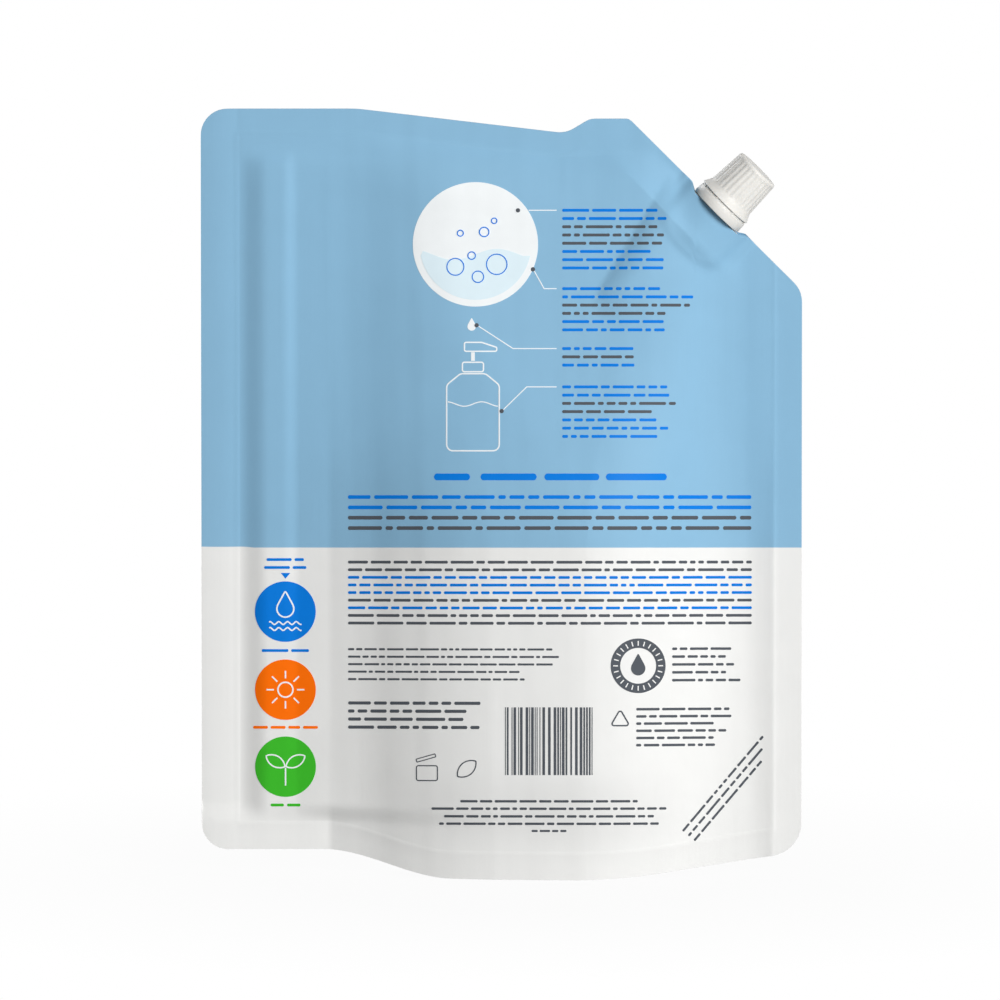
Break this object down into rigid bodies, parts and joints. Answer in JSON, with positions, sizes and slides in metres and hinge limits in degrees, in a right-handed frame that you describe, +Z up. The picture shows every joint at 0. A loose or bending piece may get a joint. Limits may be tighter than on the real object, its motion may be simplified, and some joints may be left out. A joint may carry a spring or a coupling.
{
  "type": "hand soap refill pack",
  "caption": "Spouted stand-up film pouch that holds a refill of liquid hand soap, with a grip strip, a folded gusset and a screw cap on a cut corner.",
  "frame": {"origin": "on the ground below the middle of the pack's box", "axes": "+Z up, +X to the right of the printed back panel, towards the spout, +Y from that panel to the other one"},
  "size_m": [0.2388, 0.053, 0.3063],
  "materials": {
    "film": "satin printed laminate film",
    "closure": "satin moulded",
    "wad": "foamed sheet"
  },
  "bodies": {
    "pack": {"pouch": "film", "spout": "closure", "tamper_band": "closure"},
    "cap_seal": {"sealing_wad": "wad"},
    "cap": {"screw_cap": "closure"}
  },
  "joints": [
    {"name": "cap_lift", "type": "slide", "parent": "pack", "child": "cap_seal", "axis": [0.7071, 0, 0.7071], "range_m": [0, 0.0166]},
    {"name": "cap_turn", "type": "hinge", "parent": "cap_seal", "child": "cap", "pos_m": [0.08636, 0, 0.26659], "axis": [0.7071, 0, 0.7071], "range_deg": [0, 990]}
  ],
  "couplings": [
    {"joint": "cap_lift", "follows": "cap_turn", "m_per_rad": 0.00095493}
  ]
}
